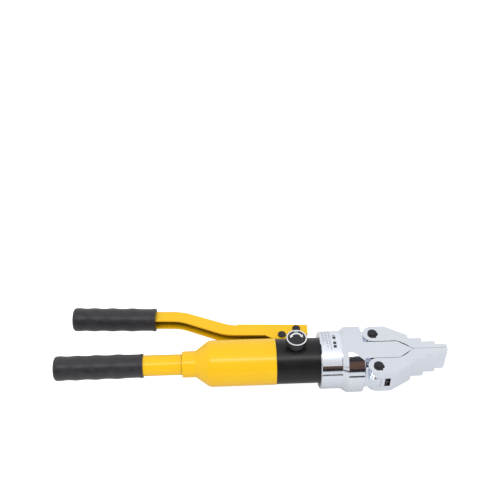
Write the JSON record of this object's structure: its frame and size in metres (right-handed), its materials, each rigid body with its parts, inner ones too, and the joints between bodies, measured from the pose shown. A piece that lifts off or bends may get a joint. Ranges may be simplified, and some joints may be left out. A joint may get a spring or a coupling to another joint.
{
  "type": "hydraulic flange spreader",
  "caption": "Hand-pumped hydraulic spreader with a yellow reservoir, swinging pump lever, chromed ram head and stepped wedge-driven jaws for parting flanges.",
  "frame": {"origin": "below the middle of the whole tool, at the level of its lowest point", "axes": "+X along the tool's axis towards the jaw tips, +Z out of the lever and jaw plane towards the release knob, +Y towards the pump lever"},
  "size_m": [0.509, 0.1434, 0.0843],
  "materials": {
    "grip_rubber": "satin moulded rubber",
    "yellow_paint": "gloss enamel",
    "black_body": "satin black finish",
    "chrome": "bright plated",
    "black_oxide": "black oxide",
    "steel": "ground",
    "ball_steel": "polished",
    "spring_steel": "drawn wire",
    "seal_rubber": "smooth",
    "bladder_rubber": "smooth",
    "filter_brass": "sintered",
    "plate_silver": "satin printed plate",
    "knob_black": "moulded",
    "knob_white": "printed disc",
    "pointer_grey": "satin"
  },
  "bodies": {
    "body": {"fixed_grip": "grip_rubber", "handle_tube": "yellow_paint", "reservoir_housing": "yellow_paint", "pump_body": "black_body", "pivot_lug": "black_body", "cylinder_head": "chrome", "jaw_pins": "black_oxide", "jaw_circlips": "black_oxide", "head_lock_screw": "black_oxide", "plunger_gland": "steel", "discharge_seat": "steel", "discharge_plug": "steel", "relief_screw": "steel", "bladder_clamp": "steel", "suction_spring": "spring_steel", "discharge_spring": "spring_steel", "relief_spring": "spring_steel", "return_spring": "spring_steel", "closing_spring": "spring_steel", "housing_seal": "seal_rubber", "cylinder_seal": "seal_rubber", "plunger_seal": "seal_rubber", "spindle_seal": "seal_rubber", "rod_wiper": "seal_rubber", "oil_bladder": "bladder_rubber", "bladder_plug": "bladder_rubber", "suction_filter": "filter_brass", "nameplate": "plate_silver"},
    "lever": {"lever_channel": "yellow_paint", "lever_grip": "grip_rubber", "lever_pivot_pin": "black_oxide", "plunger_pin": "black_oxide", "lever_pin_clips": "black_oxide"},
    "plunger_rod": {"plunger": "steel"},
    "ram": {"piston": "steel", "piston_seal": "seal_rubber", "piston_screw": "black_oxide", "ram_wedge": "chrome"},
    "far_jaw": {"jaw_far": "chrome", "spring_dowel_far": "black_oxide"},
    "near_jaw": {"jaw_near": "chrome", "spring_dowel_near": "black_oxide"},
    "knob": {"release_knob": "knob_black", "knob_face": "knob_white", "knob_pointer": "pointer_grey", "knob_screw": "black_oxide", "release_spindle": "steel", "release_valve_ball": "ball_steel"},
    "suction_ball": {"suction_valve_ball": "ball_steel"},
    "discharge_ball": {"discharge_valve_ball": "ball_steel"},
    "relief_ball": {"relief_valve_ball": "ball_steel"}
  },
  "joints": [
    {"name": "ram_slide", "type": "slide", "parent": "body", "child": "ram", "axis": [1, 0, 0], "range_m": [0, 0.02], "stiffness_N_per_m": 1500, "springref_m": -0.008, "deforming": ["return_spring", "closing_spring"]},
    {"name": "far_jaw_swing", "type": "hinge", "parent": "body", "child": "far_jaw", "pos_m": [0.1605, -0.00241, 0.0383], "axis": [0, 0, 1], "range_deg": [0, 13]},
    {"name": "near_jaw_swing", "type": "hinge", "parent": "body", "child": "near_jaw", "pos_m": [0.1605, -0.05641, 0.0383], "axis": [0, 0, -1], "range_deg": [0, 13]},
    {"name": "lever_swing", "type": "hinge", "parent": "body", "child": "lever", "pos_m": [0.0622, 0.01859, 0.0383], "axis": [0, 0, -1], "range_deg": [0, 52]},
    {"name": "plunger_slide", "type": "slide", "parent": "body", "child": "plunger_rod", "axis": [0, 1, 0], "range_m": [0, 0.0195]},
    {"name": "release_turn", "type": "hinge", "parent": "body", "child": "knob", "pos_m": [0.0573, -0.02941, 0.0383], "axis": [0, 0, 1], "range_deg": [0, 180]},
    {"name": "suction_ball_lift", "type": "slide", "parent": "body", "child": "suction_ball", "axis": [1, 0, 0], "range_m": [0, 0.001], "stiffness_N_per_m": 100, "springref_m": -0.002, "deforming": ["suction_spring"]},
    {"name": "discharge_ball_lift", "type": "slide", "parent": "body", "child": "discharge_ball", "axis": [1, 0, 0], "range_m": [0, 0.001], "stiffness_N_per_m": 200, "springref_m": -0.002, "deforming": ["discharge_spring"]},
    {"name": "relief_ball_lift", "type": "slide", "parent": "body", "child": "relief_ball", "axis": [-1, 0, 0], "range_m": [0, 0.001], "stiffness_N_per_m": 200, "springref_m": -0.002, "deforming": ["relief_spring"]}
  ],
  "couplings": [
    {"joint": "far_jaw_swing", "follows": "ram_slide", "rad_per_m": 11.344},
    {"joint": "near_jaw_swing", "follows": "ram_slide", "rad_per_m": 11.344},
    {"joint": "plunger_slide", "follows": "lever_swing", "m_per_rad": 0.021402}
  ]
}
